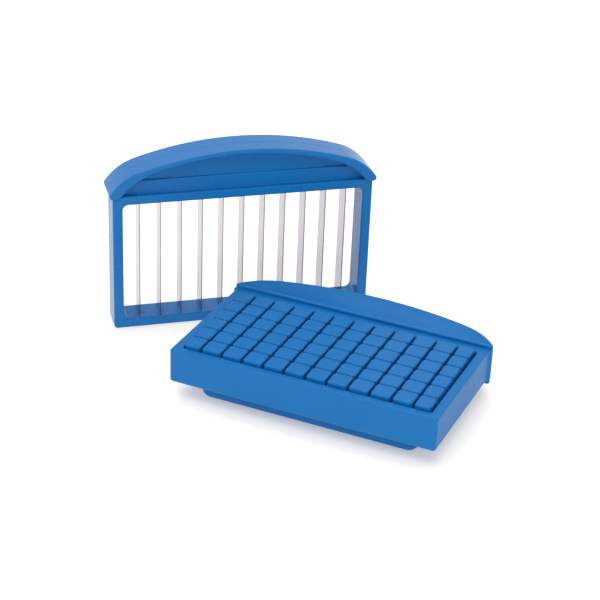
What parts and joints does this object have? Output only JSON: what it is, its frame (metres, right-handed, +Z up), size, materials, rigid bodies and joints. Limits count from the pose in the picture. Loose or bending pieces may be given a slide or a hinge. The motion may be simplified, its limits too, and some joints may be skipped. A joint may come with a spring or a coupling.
{
  "type": "egg slicer",
  "caption": "Press slicer: a slotted block of small square bosses on a low foot, and an upright window frame of thin steel blades, each with a crescent handle.",
  "frame": {"origin": "centre of the underside of the block's foot, on the worktop", "axes": "+X along the width of the press frame, +Y from its face to its back, +Z up; the block is turned about Z relative to the frame"},
  "size_m": [0.1566, 0.1647, 0.0885],
  "materials": {
    "frame_plastic": "satin moulded",
    "block_plastic": "fine moulded texture",
    "blade_steel": "ground along the blade",
    "rod_steel": "drawn"
  },
  "bodies": {
    "block": {"block_shell": "block_plastic", "cutting_bed": "block_plastic", "foot_cover": "block_plastic", "foot_screws": "rod_steel"},
    "press_frame": {"frame_front": "frame_plastic", "frame_rear": "frame_plastic", "blade_01": "blade_steel", "blade_02": "blade_steel", "blade_03": "blade_steel", "blade_04": "blade_steel", "blade_05": "blade_steel", "blade_06": "blade_steel", "blade_07": "blade_steel", "blade_08": "blade_steel", "blade_09": "blade_steel", "blade_10": "blade_steel", "blade_11": "blade_steel", "blade_rod_low": "rod_steel", "blade_rod_high": "rod_steel"}
  },
  "joints": [
    {"name": "frame_lift", "type": "slide", "parent": "block", "child": "press_frame", "axis": [0, 0, 1], "range_m": [0, 0.12]}
  ]
}
